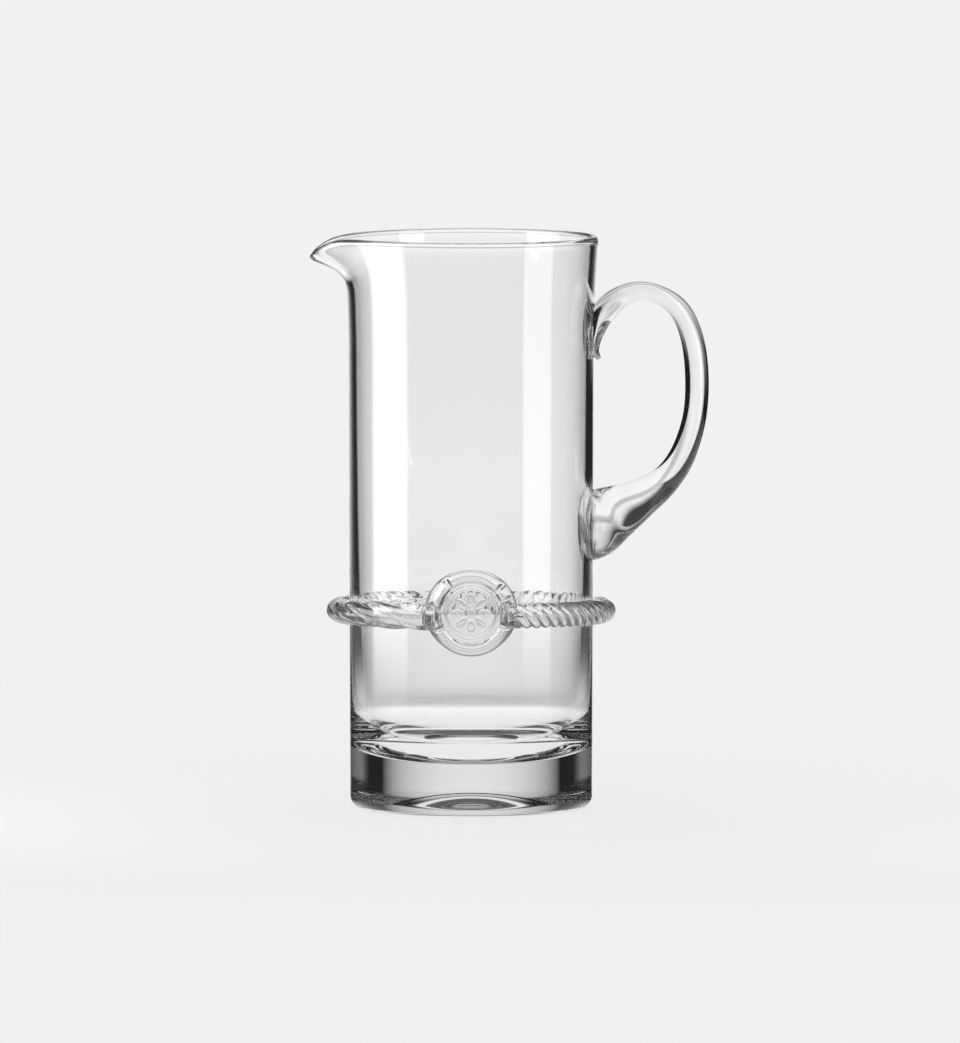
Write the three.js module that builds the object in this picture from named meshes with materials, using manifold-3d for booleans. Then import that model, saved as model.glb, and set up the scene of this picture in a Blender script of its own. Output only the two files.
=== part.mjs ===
// Crystal pitcher: a blown glass vessel with an applied handle, a twisted rope band and a pressed seal.
// Millimetres, +Z up. The spout points to -X, the handle to +X and the seal faces -Y.

import * as THREE from "three";
import { mergeVertices } from "three/addons/utils/BufferGeometryUtils.js";
import Module from "manifold-3d";

const wasm = await Module();
wasm.setup();

// Vessel body
const HEIGHT = 240; // table to the top of the rim
const FOOT_RADIUS = 51; // outside of the wall at the foot
const WALL_TAPER = 0.6; // how much wider the wall is at the rim than at the foot, without the lip's flare
const WALL = 3; // thickness of the wall and of the rim
const LIP_FLARE = 2; // how far the lip opens out all round
const LIP_HEIGHT = 50; // stretch of wall over which it opens
const WALL_SWELL = 5; // how much thicker the wall has grown by the floor
const SWELL_HEIGHT = 45; // rise over which that falls to about a third
const FLOOR = 19.5; // height of the middle of the cavity above the table
const CORNER_HEIGHT = 24.5; // height over which the cavity turns in to its floor
const CORNER_SQUARENESS = 3.1; // 2 is an elliptical corner, more is squarer
const FOOT_ROUND = 4.5; // rounding of the foot's outer edge
const REST_RING = 3; // width of the flat ring that the pitcher stands on
const PUNT_DEPTH = 1; // wide shallow dome inside that ring
const PONTIL_RADIUS = 24; // polished dome in the middle of it
const PONTIL_DEPTH = 6;

// Pouring spout, pulled out of the lip
const SPOUT_HEIGHT = 25; // stretch of wall below the rim that leans out
const SPOUT_LIP = 6.8; // straight run at the end of it
const SPOUT_LEAN = 67; // degrees from upright at the tip
const SPOUT_HALF_ANGLE = 12.5; // degrees round the rim to where the lean has halved
const SPOUT_END_ANGLE = 85; // degrees round the rim to where it has died out

// Handle, pulled in the plane of the spout
const HANDLE_LOW = 120; // height of its lower foot
const HANDLE_BELOW_RIM = 37; // its upper foot, measured down from the rim
const HANDLE_REACH = 43.2; // wall to the middle of the grip
const HANDLE_THICKNESS = 10; // grip, across the plane of the loop
const HANDLE_WIDTH = 13.5; // grip, along Y
const HANDLE_FOOT_THICKNESS = 30; // height of the lower foot on the wall
const HANDLE_FOOT_WIDTH = 26;
const HANDLE_PAD_WIDTH = 21; // upper end, pressed flat on the wall
const HANDLE_PAD_THICKNESS = 10.5;

// Rope band, a ribbed cane twisted loosely at one end and tightly at the other
const ROPE_HEIGHT = 79.8; // middle of the cane at the back
const ROPE_FRONT_RISE = 4.8; // how much higher it lies at the seal
const ROPE_RADIUS = 5.3; // middle of the cane to a rib's crest
const ROPE_PRESS = 1.3; // how far the cane is flattened on the wall
const ROPE_RIBS = 5;
const ROPE_RIB_DEPTH = 0.9;
const ROPE_LOOSE_PITCH = 95; // length of one turn of twist on the spout's side of the seal
const ROPE_TIGHT_PITCH = 22; // and on the handle's side
const ROPE_TUCK = 2; // how far the rope's ends go under the edge of the seal

// Seal, a stamped gather over the rope's joint
const SEAL_HEIGHT = 86; // middle of the disc
const SEAL_RADIUS = 18.3;
const SEAL_FACE_RADIUS = 12.2; // stamped flat
const SEAL_THICKNESS = 5; // wall to the stamped face
const SEAL_ROLL = 2; // how far the squeezed-out roll stands proud of the face
const SEAL_ROLL_START = 153; // degrees round the roll's section to where it rises from the face

// Gap between one glass and the next
const FUSE_GAP = 0.3;

// Fineness of the surfaces
const WALL_SIDES = 64;
const SPOUT_CROWDING = 0.5; // share by which the sides are narrowed at the spout
const HANDLE_STEPS = 40;
const HANDLE_SIDES = 18;
const ROPE_STEPS = 150;
const ROPE_POINTS_PER_RIB = 3;
const SEAL_SIDES = 44;
const BEND_STEPS = 24; // steps along the wall when its lean is added up
const WALL_ROWS = 6; // rows of the plain wall
const LIP_ROWS = 10; // rows of the stretch that leans or opens out
const LIP_CROWDING = 1.5; // how strongly they crowd towards the rim
const RIM_STEPS = 5;
const FOOT_STEPS = 4;
const CORNER_STEPS = 9;
const DOME_STEPS = 4;
const ROLL_STEPS = 9;

const GLASS_OPACITY = 0.35;

const { clamp, degToRad, lerp, smoothstep } = THREE.MathUtils;

// Outside radius of the vessel at a height, away from the spout.
function wallRadius(z) {
  const lip = clamp((z - (HEIGHT - LIP_HEIGHT)) / LIP_HEIGHT, 0, 1);
  return FOOT_RADIUS + WALL_TAPER * (z / HEIGHT) + LIP_FLARE * lip * lip;
}

// Radius of the cavity at a height: the wall thickens towards the floor.
function insideRadius(z) {
  return wallRadius(z) - WALL - WALL_SWELL * Math.exp((FLOOR - z) / SWELL_HEIGHT);
}

// Numbers from one value to another, both ends included.
function evenSteps(from, to, steps) {
  return Array.from({ length: steps + 1 }, (_, i) => lerp(from, to, i / steps));
}

// Points of a round arc from one angle to another, both ends included.
function arc(centreX, centreY, radiusX, radiusY, from, to, steps) {
  return evenSteps(from, to, steps).map(
    (angle) => new THREE.Vector2(centreX + radiusX * Math.cos(angle), centreY + radiusY * Math.sin(angle)),
  );
}

// A profile turned about the Z axis.
function turned(profile, sides) {
  return new THREE.LatheGeometry(profile, sides).rotateX(Math.PI / 2);
}

// A closed solid from a geometry, with shared vertices merged and collapsed triangles dropped.
function toSolid(geometry) {
  geometry.deleteAttribute("normal");
  geometry.deleteAttribute("uv");
  const merged = mergeVertices(geometry);
  const corners = merged.index.array;
  const triVerts = [];
  for (let i = 0; i < corners.length; i += 3) {
    const [a, b, c] = corners.slice(i, i + 3);
    if (a !== b && b !== c && c !== a) triVerts.push(a, b, c);
  }
  const vertProperties = new Float32Array(merged.attributes.position.array);
  const mesh = new wasm.Mesh({ numProp: 3, vertProperties, triVerts: new Uint32Array(triVerts) });
  return new wasm.Manifold(mesh);
}

function toGeometry(solid) {
  const mesh = solid.getMesh();
  const geometry = new THREE.BufferGeometry();
  geometry.setAttribute("position", new THREE.BufferAttribute(mesh.vertProperties, 3));
  geometry.setIndex(new THREE.BufferAttribute(mesh.triVerts, 1));
  geometry.computeVertexNormals();
  return geometry;
}

// A closed skin over rings of points, with a fan over each end.
function skin(rings) {
  const sides = rings[0].length;
  const points = rings.flat();
  const index = [];
  for (let r = 0; r + 1 < rings.length; r += 1) {
    for (let s = 0; s < sides; s += 1) {
      const a = r * sides + s;
      const b = r * sides + ((s + 1) % sides);
      index.push(a, b, b + sides, a, b + sides, a + sides);
    }
  }
  const last = rings.length - 1;
  for (const [ring, offset, flip] of [[rings[0], 0, true], [rings[last], last * sides, false]]) {
    const centre = points.length;
    points.push(ring.reduce((sum, p) => sum.add(p), new THREE.Vector3()).divideScalar(sides));
    for (let s = 0; s < sides; s += 1) {
      const next = offset + ((s + 1) % sides);
      index.push(...(flip ? [centre, next, offset + s] : [centre, offset + s, next]));
    }
  }
  const geometry = new THREE.BufferGeometry().setFromPoints(points);
  geometry.setIndex(index);
  return geometry;
}

// The inside of the vessel's outer wall, grown by the gap that applied glass keeps to it.
function wallWithGap() {
  const margin = FOOT_RADIUS / 2;
  const lip = evenSteps(HEIGHT - LIP_HEIGHT, HEIGHT, LIP_ROWS);
  const heights = [-margin, 0, ...lip, HEIGHT + margin];
  const outside = heights.map((z) => new THREE.Vector2(wallRadius(z) + FUSE_GAP, z));
  const profile = [new THREE.Vector2(0, -margin), ...outside, new THREE.Vector2(0, HEIGHT + margin)];
  return toSolid(turned(profile, WALL_SIDES));
}

// Vessel

// Half section of the underside, from the middle out: the pontil's dome in the wide dome of the punt.
function undersideProfile() {
  const puntRadius = FOOT_RADIUS - FOOT_ROUND - REST_RING;
  const radii = [
    ...evenSteps(0, PONTIL_RADIUS, DOME_STEPS),
    ...evenSteps(PONTIL_RADIUS, puntRadius, DOME_STEPS).slice(1),
  ];
  return radii.map((radius) => {
    const punt = PUNT_DEPTH * (1 - (radius / puntRadius) ** 2);
    const pontil = PONTIL_DEPTH * Math.max(1 - (radius / PONTIL_RADIUS) ** 2, 0);
    return new THREE.Vector2(radius, punt + pontil);
  });
}

// Half section of the vessel, from the middle of the punt round the rim to the middle of the floor.
function vesselProfile() {
  const rimRound = WALL / 2;
  const rimBase = HEIGHT - rimRound;
  const cornerTop = FLOOR + CORNER_HEIGHT;
  const lipBase = HEIGHT - Math.max(SPOUT_HEIGHT, LIP_HEIGHT);
  const foot = arc(FOOT_RADIUS - FOOT_ROUND, FOOT_ROUND, FOOT_ROUND, FOOT_ROUND, -Math.PI / 2, 0, FOOT_STEPS);

  const lipShares = evenSteps(1, 0, LIP_ROWS).map((left) => 1 - left ** LIP_CROWDING);
  const lipRows = lipShares.map((share) => lerp(lipBase, rimBase, share));
  const heights = [...evenSteps(cornerTop, lipBase, WALL_ROWS), ...lipRows.slice(1)];
  const outside = heights.map((z) => new THREE.Vector2(wallRadius(z), z));
  const rimMiddle = (wallRadius(rimBase) + insideRadius(rimBase)) / 2;
  const rim = arc(rimMiddle, rimBase, rimRound, rimRound, 0, Math.PI, RIM_STEPS).slice(1, -1);
  const inside = heights.map((z) => new THREE.Vector2(insideRadius(z), z)).reverse();

  const corner = evenSteps(0, Math.PI / 2, CORNER_STEPS).slice(1).map((angle) => {
    const out = Math.abs(Math.cos(angle)) ** (2 / CORNER_SQUARENESS);
    const down = Math.sin(angle) ** (2 / CORNER_SQUARENESS);
    const z = cornerTop - CORNER_HEIGHT * down;
    return new THREE.Vector2(insideRadius(z) * out, z);
  });
  corner[corner.length - 1].x = 0;
  return [...undersideProfile(), ...foot, ...outside, ...rim, ...inside, ...corner];
}

// Share of the full pull at an angle from the middle of the spout: a bell with long tails, none at the back.
function spoutPull(angle) {
  const end = degToRad(SPOUT_END_ANGLE);
  const bell = 1 / (1 + (angle / degToRad(SPOUT_HALF_ANGLE)) ** 2);
  return bell * (1 - smoothstep(Math.abs(angle), 0, end));
}

// Bends the wall outwards along its length at the spout. The middle of the wall keeps its length while its
// lean grows from upright to the lean of the tip, and the wall's two faces stay square to it.
function pullSpout(geometry) {
  const start = HEIGHT - SPOUT_HEIGHT;
  const bend = SPOUT_HEIGHT - SPOUT_LIP;
  const position = geometry.attributes.position;
  for (let i = 0; i < position.count; i += 1) {
    const radius = Math.hypot(position.getX(i), position.getY(i));
    const even = Math.atan2(position.getY(i), -position.getX(i));
    const angle = even - SPOUT_CROWDING * Math.sin(even);
    const length = Math.max(position.getZ(i) - start, 0);
    const lean = degToRad(SPOUT_LEAN) * spoutPull(angle);
    let out = 0;
    let up = 0;
    for (let step = 0; step < BEND_STEPS; step += 1) {
      const along = ((step + 0.5) / BEND_STEPS) * length;
      const tilt = lean * smoothstep(along, 0, bend);
      out += (Math.sin(tilt) * length) / BEND_STEPS;
      up += (Math.cos(tilt) * length) / BEND_STEPS;
    }
    const tilt = lean * smoothstep(length, 0, bend);
    const middle = wallRadius(position.getZ(i)) - WALL / 2;
    const offset = radius - middle;
    const bent = length > 0 ? middle + out + offset * Math.cos(tilt) : radius;
    const z = length > 0 ? start + up - offset * Math.sin(tilt) : position.getZ(i);
    position.setXYZ(i, -bent * Math.cos(angle), bent * Math.sin(angle), z);
  }
  return geometry;
}

function vesselGeometry() {
  return pullSpout(turned(vesselProfile(), WALL_SIDES));
}

// Handle

// Stations along the handle, lower foot first. out is a share of the reach from the wall, up is a share of
// the rise from the lower foot to the upper one. The first and last lie inside the wall.
function handleStations() {
  const grip = { thick: HANDLE_THICKNESS, wide: HANDLE_WIDTH };
  return [
    { out: -0.2, up: -0.03, thick: HANDLE_FOOT_THICKNESS, wide: HANDLE_FOOT_WIDTH },
    { out: 0.0, up: -0.01, thick: HANDLE_FOOT_THICKNESS, wide: HANDLE_FOOT_WIDTH },
    { out: 0.2, up: 0.04, thick: 0.8 * HANDLE_FOOT_THICKNESS, wide: 0.75 * HANDLE_FOOT_WIDTH },
    { out: 0.43, up: 0.108, thick: 1.78 * grip.thick, wide: 1.45 * grip.wide },
    { out: 0.68, up: 0.2, thick: 1.3 * grip.thick, wide: 1.15 * grip.wide },
    { out: 0.86, up: 0.33, thick: 1.1 * grip.thick, wide: 1.05 * grip.wide },
    { out: 0.98, up: 0.53, ...grip },
    { out: 1.0, up: 0.75, ...grip },
    { out: 0.94, up: 0.95, thick: 0.96 * grip.thick, wide: grip.wide },
    { out: 0.79, up: 1.09, thick: 0.86 * grip.thick, wide: grip.wide },
    { out: 0.52, up: 1.163, thick: 0.78 * grip.thick, wide: 1.05 * grip.wide },
    { out: 0.27, up: 1.143, thick: 0.9 * grip.thick, wide: 1.2 * grip.wide },
    { out: 0.08, up: 1.055, thick: HANDLE_PAD_THICKNESS, wide: HANDLE_PAD_WIDTH },
    { out: 0.0, up: 0.95, thick: 0.7 * HANDLE_PAD_THICKNESS, wide: HANDLE_PAD_WIDTH },
    { out: -0.02, up: 0.84, thick: 0.35 * HANDLE_PAD_THICKNESS, wide: 0.5 * HANDLE_PAD_WIDTH },
  ];
}

// Oval sections carried along a curve through the stations, trimmed to the wall.
function handleGeometry(wall) {
  const rise = HEIGHT - HANDLE_BELOW_RIM - HANDLE_LOW;
  const stations = handleStations();
  const path = new THREE.CatmullRomCurve3(
    stations.map(({ out, up }) => {
      const z = HANDLE_LOW + up * rise;
      return new THREE.Vector3(wallRadius(z) + out * HANDLE_REACH, 0, z);
    }),
    false,
    "catmullrom",
  );
  const section = new THREE.SplineCurve(stations.map(({ thick, wide }) => new THREE.Vector2(thick, wide)));
  const rings = [];
  for (let i = 0; i <= HANDLE_STEPS; i += 1) {
    const t = i / HANDLE_STEPS;
    const middle = path.getPoint(t);
    const along = path.getTangent(t);
    const across = new THREE.Vector3(along.z, 0, -along.x);
    const { x: thick, y: wide } = section.getPoint(t);
    rings.push(
      Array.from({ length: HANDLE_SIDES }, (_, s) => {
        const angle = (s / HANDLE_SIDES) * 2 * Math.PI;
        const point = middle.clone().addScaledVector(across, (thick / 2) * Math.cos(angle));
        point.y += (wide / 2) * Math.sin(angle);
        return point;
      }),
    );
  }
  return toGeometry(toSolid(skin(rings)).subtract(wall));
}

// Seal

// Pushes a point that lies inside the wall out to the gap in front of it.
function pressOnWall(point) {
  const radius = Math.hypot(point.x, point.y);
  const seat = wallRadius(point.z) + FUSE_GAP;
  const scale = radius < seat ? seat / radius : 1;
  return point.set(point.x * scale, point.y * scale, point.z);
}

// The stamped disc and its roll, grown by a margin. The roll drapes back over the curve of the wall, and
// the back of the disc lies inside the wall.
function sealSolid(margin) {
  const wall = wallRadius(SEAL_HEIGHT);
  const face = wall + SEAL_THICKNESS;
  const rollWide = (SEAL_RADIUS - SEAL_FACE_RADIUS) / 2;
  const rollMiddle = SEAL_FACE_RADIUS + rollWide;
  const rollTall = SEAL_ROLL + SEAL_THICKNESS / 2;
  const rollBase = face + SEAL_ROLL - rollTall;
  const back = wall - SEAL_RADIUS / 2;
  const rollStart = degToRad(SEAL_ROLL_START);
  const roll = arc(rollMiddle, rollBase, rollWide + margin, rollTall + margin, rollStart, 0, ROLL_STEPS);
  const profile = [
    new THREE.Vector2(0, face + margin),
    new THREE.Vector2(0.5 * SEAL_FACE_RADIUS, face + margin),
    new THREE.Vector2(SEAL_FACE_RADIUS - margin, face + margin),
    ...roll.filter(({ x, y }) => y > face + margin || x > rollMiddle),
    new THREE.Vector2(SEAL_RADIUS + margin, back),
    new THREE.Vector2(0, back),
  ];
  const geometry = turned(profile.reverse(), SEAL_SIDES).rotateX(Math.PI / 2);
  const position = geometry.attributes.position;
  for (let i = 0; i < position.count; i += 1) {
    const x = position.getX(i);
    const spread = Math.hypot(x, position.getZ(i));
    const sag = wall - Math.sqrt(wall ** 2 - x ** 2);
    const drape = sag * smoothstep(spread, SEAL_FACE_RADIUS, SEAL_RADIUS);
    position.setY(i, position.getY(i) + drape);
  }
  return toSolid(geometry.translate(0, 0, SEAL_HEIGHT));
}

// Rope band

// Turn of the ribs at a share of the way round: the twist starts loose and ends tight.
function ropeTwist(share, length) {
  const loose = (2 * Math.PI * length) / ROPE_LOOSE_PITCH;
  const tight = (2 * Math.PI * length) / ROPE_TIGHT_PITCH;
  return loose * share + (tight - loose) * (share ** 3 - share ** 4 / 2);
}

// A ribbed section carried round the body from one edge of the seal to the other, flattened on the wall.
function ropeGeometry() {
  const ring = wallRadius(ROPE_HEIGHT) + FUSE_GAP + ROPE_RADIUS - ROPE_PRESS;
  const start = Math.asin((SEAL_RADIUS - ROPE_TUCK) / ring);
  const length = ring * 2 * (Math.PI - start);
  const sides = ROPE_RIBS * ROPE_POINTS_PER_RIB;
  const rings = [];
  for (let i = 0; i <= ROPE_STEPS; i += 1) {
    const share = i / ROPE_STEPS;
    const round = lerp(start, 2 * Math.PI - start, share);
    const outwards = new THREE.Vector3(-Math.sin(round), -Math.cos(round), 0);
    const middle = outwards.clone().multiplyScalar(ring);
    middle.z = ROPE_HEIGHT + (ROPE_FRONT_RISE * (1 + Math.cos(round))) / 2;
    rings.push(
      Array.from({ length: sides }, (_, s) => {
        const rib = (s / sides) * 2 * Math.PI;
        const angle = rib + ropeTwist(share, length);
        const radius = ROPE_RADIUS - (ROPE_RIB_DEPTH * (1 - Math.cos(ROPE_RIBS * rib))) / 2;
        const point = middle.clone().addScaledVector(outwards, radius * Math.cos(angle));
        point.z += radius * Math.sin(angle);
        return pressOnWall(point);
      }),
    );
  }
  return toGeometry(toSolid(skin(rings)).subtract(sealSolid(FUSE_GAP)));
}

// The glass pieces

function glassPiece(name, geometry, color, roughness) {
  const glass = { color, roughness, metalness: 0, transparent: true, opacity: GLASS_OPACITY };
  const mesh = new THREE.Mesh(geometry, new THREE.MeshStandardMaterial(glass));
  mesh.name = name;
  return mesh;
}

const wall = wallWithGap();
const pitcher = new THREE.Group();
pitcher.name = "crystal_pitcher";
pitcher.add(glassPiece("vessel", vesselGeometry(), 0xe9eeee, 0.02));
pitcher.add(glassPiece("handle", handleGeometry(wall), 0xe6ebeb, 0.03));
pitcher.add(glassPiece("rope_band", ropeGeometry(), 0xe4e9e9, 0.05));
pitcher.add(glassPiece("seal", toGeometry(sealSolid(0).subtract(wall)), 0xe6ebeb, 0.05));

// The origin is on the table, under the middle of the whole pitcher.
const box = new THREE.Box3().setFromObject(pitcher);
const middle = box.getCenter(new THREE.Vector3());
pitcher.position.set(-middle.x, -middle.y, -box.min.z);

export default pitcher;
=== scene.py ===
"""Crystal pitcher: four pieces of clear hand-worked glass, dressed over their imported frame."""

import logging
import math
from dataclasses import dataclass, field
from enum import Enum

import bpy
import numpy as np
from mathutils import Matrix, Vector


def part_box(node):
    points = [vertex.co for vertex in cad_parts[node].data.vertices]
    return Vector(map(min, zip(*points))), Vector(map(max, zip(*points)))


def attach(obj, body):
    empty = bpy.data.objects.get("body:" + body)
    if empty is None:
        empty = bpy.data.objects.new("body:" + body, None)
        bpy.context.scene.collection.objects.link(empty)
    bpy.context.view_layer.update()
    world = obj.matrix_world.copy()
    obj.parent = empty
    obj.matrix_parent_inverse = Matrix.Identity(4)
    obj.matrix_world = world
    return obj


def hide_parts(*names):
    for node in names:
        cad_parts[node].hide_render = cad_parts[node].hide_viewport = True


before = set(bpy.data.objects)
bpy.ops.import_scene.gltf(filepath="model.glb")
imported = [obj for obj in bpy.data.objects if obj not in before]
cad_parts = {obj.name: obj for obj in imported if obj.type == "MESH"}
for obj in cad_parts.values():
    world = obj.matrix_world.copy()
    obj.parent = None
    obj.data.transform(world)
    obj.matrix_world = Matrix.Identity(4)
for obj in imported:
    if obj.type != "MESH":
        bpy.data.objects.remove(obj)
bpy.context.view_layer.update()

LOG = logging.getLogger("pitcher")
MM = 0.001
Array = np.ndarray


def smooth(value: Array, low: float, high: float) -> Array:
    """Smooth step: 0 below low, 1 above high, and 3t^2 - 2t^3 between.

    Args:
        value: Numbers to test.
        low: Where the step starts.
        high: Where the step ends.

    Returns:
        The step's height at each number.
    """
    t = np.clip((value - low) / (high - low), 0.0, 1.0)
    return t * t * (3.0 - 2.0 * t)


def curve_through(points: Array, t: Array) -> Array:
    """Catmull-Rom curve: each span is a cubic whose end slopes are half the chord of its neighbours.

    Args:
        points: Points to pass through, one per row.
        t: Places along the curve, 0 at the first point and 1 at the last.

    Returns:
        One row of coordinates for each place.
    """
    padded = np.vstack([2 * points[0] - points[1], points, 2 * points[-1] - points[-2]])
    span = t * (len(points) - 1)
    index = np.clip(span.astype(int), 0, len(points) - 2)
    f = (span - index)[:, None]
    a, b, c, d = (padded[index + k] for k in range(4))
    return 0.5 * (2 * b + (c - a) * f + (2 * a - 5 * b + 4 * c - d) * f**2 + (3 * b - a - 3 * c + d) * f**3)


def arc(
    centre: tuple[float, float], radii: tuple[float, float], start: float, stop: float, count: int
) -> Array:
    """Points on an ellipse: centre plus radii times cosine and sine of an even run of angles.

    Args:
        centre: Middle of the ellipse.
        radii: Its two half axes.
        start: First angle, in radians.
        stop: Last angle, in radians.
        count: Number of points, both ends included.

    Returns:
        Points, one per row.
    """
    angle = np.linspace(start, stop, count)
    return np.column_stack([centre[0] + radii[0] * np.cos(angle), centre[1] + radii[1] * np.sin(angle)])


def shrinking_rings(ring: Array, count: int) -> Array:
    """Copies of a ring drawn in evenly to its mean point, smallest first, which close an end with even faces.

    The smallest is a little under half a step wide, and the fan of the mesh closes it.

    Args:
        ring: Loop of points.
        count: Number of copies.

    Returns:
        Rings of shape (count, points, 3).
    """
    middle = ring.mean(axis=0)
    innermost = 0.4
    share = (np.arange(count) + innermost) / (count + innermost)
    return middle + share[:, None, None] * (ring - middle)


def closed_mesh(name: str, rings: Array, place: Array) -> bpy.types.Object:
    """Joins rings of points into one closed, smooth mesh with its faces outwards.

    Neighbouring rings are joined by quads, and a fan from the mean of the first and of the last ring closes
    the ends. The faces are turned round if the volume under them comes out negative.

    Args:
        name: Name of the piece.
        rings: Points of shape (rows, columns, 3), in millimetres about the body's axis.
        place: Where that axis meets the table, in metres.

    Returns:
        The new object, at the origin, with its place in its mesh.
    """
    rows, columns, _ = rings.shape
    ends = np.vstack([rings[0].mean(axis=0), rings[-1].mean(axis=0)])
    points = np.vstack([rings.reshape(-1, 3), ends]) * MM + place
    first, last = rows * columns, rows * columns + 1
    here = np.arange(columns)
    ahead = np.roll(here, -1)
    base = (np.arange(rows - 1) * columns)[:, None]
    quads = np.stack([base + here, base + ahead, base + ahead + columns, base + here + columns], axis=-1)
    quads = quads.reshape(-1, 4)
    top = (rows - 1) * columns
    fans = np.vstack([
        np.column_stack([np.full(columns, first), ahead, here]),
        np.column_stack([np.full(columns, last), top + here, top + ahead]),
    ])
    triangles = np.vstack([quads[:, [0, 1, 2]], quads[:, [0, 2, 3]], fans])
    corner = points[triangles] - points.mean(axis=0)
    volume = np.einsum("ij,ij->i", corner[:, 0], np.cross(corner[:, 1], corner[:, 2])).sum()
    if volume < 0:
        quads, fans = quads[:, ::-1], fans[:, ::-1]
    mesh = bpy.data.meshes.new(name)
    mesh.from_pydata(points, [], quads.tolist() + fans.tolist())
    mesh.polygons.foreach_set("use_smooth", np.ones(len(mesh.polygons), dtype=bool))
    mesh.validate()
    piece = bpy.data.objects.new(name, mesh)
    bpy.context.scene.collection.objects.link(piece)
    return piece


def linear(hex_colour: str) -> tuple[float, float, float, float]:
    """Linear colour of an sRGB hex value such as "#f2f4f4".

    Args:
        hex_colour: Six hex digits after a hash.

    Returns:
        Red, green, blue and a full alpha.
    """
    share = [int(hex_colour[i : i + 2], 16) / 255 for i in (1, 3, 5)]
    return tuple(c / 12.92 if c <= 0.04045 else ((c + 0.055) / 1.055) ** 2.4 for c in share) + (1.0,)


def add_node(tree: bpy.types.NodeTree, kind: str, settings: dict | None = None, **inputs) -> bpy.types.Node:
    """Adds a node, sets it and links it.

    Args:
        tree: Node tree to add to.
        kind: Blender's name for the node's type.
        settings: Attributes of the node.
        **inputs: Values or output sockets, by input name with _ for a space, or by i and the input's number.

    Returns:
        The new node.
    """
    node = tree.nodes.new(kind)
    for key, value in (settings or {}).items():
        setattr(node, key, value)
    for key, value in inputs.items():
        numbered = key[0] == "i" and key[1:].isdigit()
        socket = node.inputs[int(key[1:])] if numbered else node.inputs[key.replace("_", " ")]
        if isinstance(value, bpy.types.NodeSocket):
            tree.links.new(value, socket)
        else:
            socket.default_value = value
    return node


class Ripple(Enum):
    """How the surface of a glass wavers, as a stretch of its ripples along X, Y and Z."""

    EVEN = (1.0, 1.0, 1.0)
    UPRIGHT = (1.0, 1.0, 0.2)


@dataclass(frozen=True)
class Glass:
    """Clear lead-free crystal, worked hot and left with its own fire polish.

    The eye gets a colourless body with bright and black edges from refraction, sharp highlights, and faint
    ripples where the tool or the breath left the surface uneven.
    """

    name: str
    ripple: Ripple
    ripple_mm: float
    ripple_height_mm: float
    roughness: float = 0.0
    tint: str = "#ffffff"
    thick_tint: str = "#8a8f8e"
    absorption_per_m: float = 2.6
    ior: float = 1.52

    def material(self) -> bpy.types.Material:
        """Builds the shader: rough-free transmission, a rippled normal and a faint grey in thick glass.

        Returns:
            The material. Lamps' light passes straight through it, so that its shadow stays faint.
        """
        material = bpy.data.materials.new(self.name)
        material.use_nodes = True
        tree = material.node_tree
        tree.nodes.clear()
        place = add_node(tree, "ShaderNodeTexCoord")
        turn = add_node(tree, "ShaderNodeMapping", Vector=place.outputs["Object"], Scale=self.ripple.value)
        noise = add_node(
            tree, "ShaderNodeTexNoise", Vector=turn.outputs[0], Scale=1.0 / (self.ripple_mm * MM), Detail=1.0
        )
        bump = add_node(
            tree, "ShaderNodeBump", Height=noise.outputs[0], Strength=1.0, Distance=self.ripple_height_mm * MM
        )
        body = add_node(
            tree,
            "ShaderNodeBsdfPrincipled",
            Base_Color=linear(self.tint),
            Roughness=self.roughness,
            IOR=self.ior,
            Transmission_Weight=1.0,
            Normal=bump.outputs[0],
        )
        ray = add_node(tree, "ShaderNodeLightPath")
        clear = add_node(tree, "ShaderNodeBsdfTransparent")
        mix = add_node(
            tree,
            "ShaderNodeMixShader",
            i0=ray.outputs["Is Shadow Ray"],
            i1=body.outputs[0],
            i2=clear.outputs[0],
        )
        depth = add_node(
            tree, "ShaderNodeVolumeAbsorption", Color=linear(self.thick_tint), Density=self.absorption_per_m
        )
        add_node(tree, "ShaderNodeOutputMaterial", Surface=mix.outputs[0], Volume=depth.outputs[0])
        return material


BLOWN = Glass("blown_crystal", Ripple.UPRIGHT, ripple_mm=18.0, ripple_height_mm=0.012)
PULLED = Glass("pulled_crystal", Ripple.UPRIGHT, ripple_mm=7.0, ripple_height_mm=0.02)
TWISTED = Glass("twisted_crystal", Ripple.EVEN, ripple_mm=4.0, ripple_height_mm=0.12)
PRESSED = Glass("pressed_crystal", Ripple.EVEN, ripple_mm=4.0, ripple_height_mm=0.03)


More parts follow.
